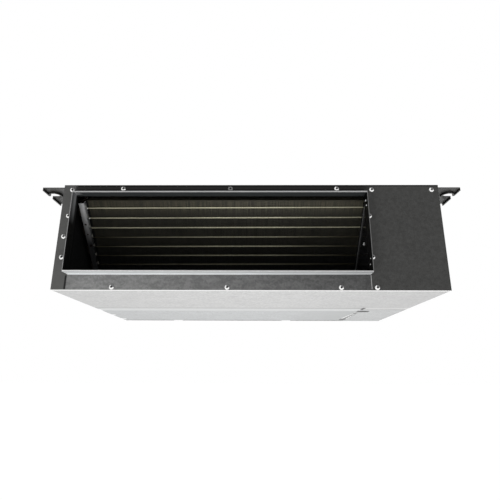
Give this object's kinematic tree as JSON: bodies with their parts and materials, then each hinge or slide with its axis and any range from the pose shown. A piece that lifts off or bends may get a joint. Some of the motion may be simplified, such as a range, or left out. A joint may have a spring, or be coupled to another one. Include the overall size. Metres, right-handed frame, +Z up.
{
  "type": "air conditioner indoor unit",
  "caption": "Slim ceiling-concealed ducted air conditioner indoor unit: low metal casing with outlet and return collars, hanging lugs, slanted coil, twin fans and a slide-out filter.",
  "frame": {"origin": "centre of the casing's underside, collars and lugs left out", "axes": "+X to the right seen from the outlet, +Y from the outlet to the return, +Z up"},
  "size_m": [0.792, 0.5005, 0.2],
  "materials": {
    "zinc_sheet": "galvanised sheet, satin, faint spangle",
    "dark_sheet": "dark grey coated sheet, fine grain, satin",
    "black_sheet": "near-black coated sheet",
    "collar_sheet": "galvanised sheet, bright cut edges",
    "fin_aluminium": "coated aluminium fins, olive-brown sheen",
    "plate_steel": "galvanised plate",
    "copper": "drawn copper tube",
    "brass": "turned brass",
    "foam": "black closed-cell foam",
    "pan_plastic": "moulded foam and plastic drain pan",
    "scroll_plastic": "grey moulded plastic",
    "wheel_plastic": "black moulded plastic",
    "motor_paint": "black enamelled motor shell",
    "core_steel": "ground steel",
    "rubber": "black rubber",
    "filter_plastic": "black moulded filter frame",
    "filter_net": "black woven nylon net",
    "board": "green circuit board",
    "terminal_plastic": "pale moulded plastic",
    "screw_steel": "zinc plated screw heads"
  },
  "bodies": {
    "casing": {"top_panel": "black_sheet", "left_side_panel": "dark_sheet", "right_side_panel": "dark_sheet", "right_front_cover": "dark_sheet", "bottom_front_panel": "zinc_sheet", "bottom_rear_panel": "zinc_sheet", "outlet_collar": "collar_sheet", "return_collar": "zinc_sheet", "lug_front_left": "dark_sheet", "lug_rear_left": "dark_sheet", "lug_front_right": "dark_sheet", "lug_rear_right": "dark_sheet", "fin_pack": "fin_aluminium", "coil_end_plate": "plate_steel", "coil_tubes": "copper", "pipe_room_wall": "plate_steel", "hairpin_bends": "copper", "return_bends": "copper", "gas_pipe": "copper", "liquid_pipe": "copper", "gas_union": "brass", "liquid_union": "brass", "pipe_seal": "foam", "drain_pan": "pan_plastic", "drain_stub": "pan_plastic", "side_lining": "foam", "top_lining": "foam", "fan_deck": "zinc_sheet", "left_scroll_upper": "scroll_plastic", "left_scroll_lower": "scroll_plastic", "right_scroll_upper": "scroll_plastic", "right_scroll_lower": "scroll_plastic", "motor_shell_left": "motor_paint", "motor_shell_right": "motor_paint", "motor_stator": "core_steel", "motor_bearings": "core_steel", "motor_rubbers": "rubber", "motor_straps": "plate_steel", "motor_bracket": "zinc_sheet", "filter_rail_left": "zinc_sheet", "filter_rail_right": "zinc_sheet", "electrical_box": "zinc_sheet", "electrical_cover": "dark_sheet", "cable_gland": "rubber", "board_posts": "terminal_plastic", "circuit_board": "board", "terminal_block": "terminal_plastic", "transformer": "core_steel", "fan_capacitor": "terminal_plastic", "front_screws": "screw_steel"},
    "fan_rotor": {"left_fan_wheel": "wheel_plastic", "right_fan_wheel": "wheel_plastic", "fan_shaft": "core_steel", "motor_rotor": "core_steel"},
    "air_filter": {"filter_frame": "filter_plastic", "filter_mesh_sheet": "filter_net"}
  },
  "joints": [
    {"name": "fan_spin", "type": "hinge", "parent": "casing", "child": "fan_rotor", "pos_m": [-0.0475, 0.112, 0.097], "axis": [1, 0, 0], "continuous": true},
    {"name": "filter_slide", "type": "slide", "parent": "casing", "child": "air_filter", "axis": [0, 0, -1], "range_m": [0, 0.19]}
  ]
}
